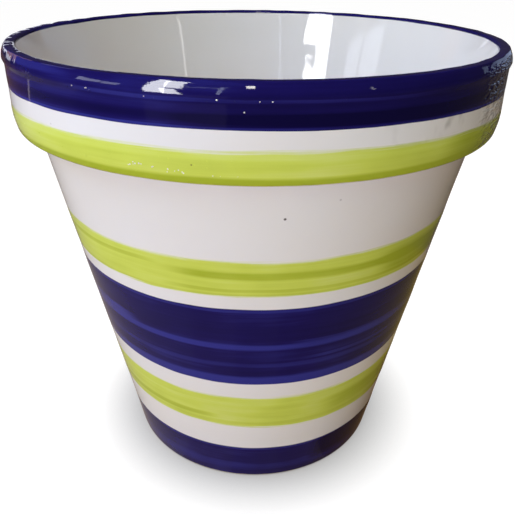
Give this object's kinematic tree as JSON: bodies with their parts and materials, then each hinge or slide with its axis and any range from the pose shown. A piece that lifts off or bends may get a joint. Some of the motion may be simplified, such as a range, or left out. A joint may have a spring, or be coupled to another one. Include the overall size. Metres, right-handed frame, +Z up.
{
  "type": "plant pot",
  "caption": "Tapered round plant pot in glazed earthenware with a deep collar, a rolled lip, brushed blue and green bands, a foot ring and a drain hole.",
  "frame": {"origin": "centre of the foot ring, on the surface the pot stands on", "axes": "+Z up along the axis the pot was turned on; +X and +Y are any two square directions, because the form is round"},
  "size_m": [0.28, 0.28, 0.2631],
  "materials": {
    "glaze": "gloss glaze over brushed cobalt blue and chartreuse green bands"
  },
  "bodies": {
    "root": {"pot": "glaze"}
  },
  "joints": []
}
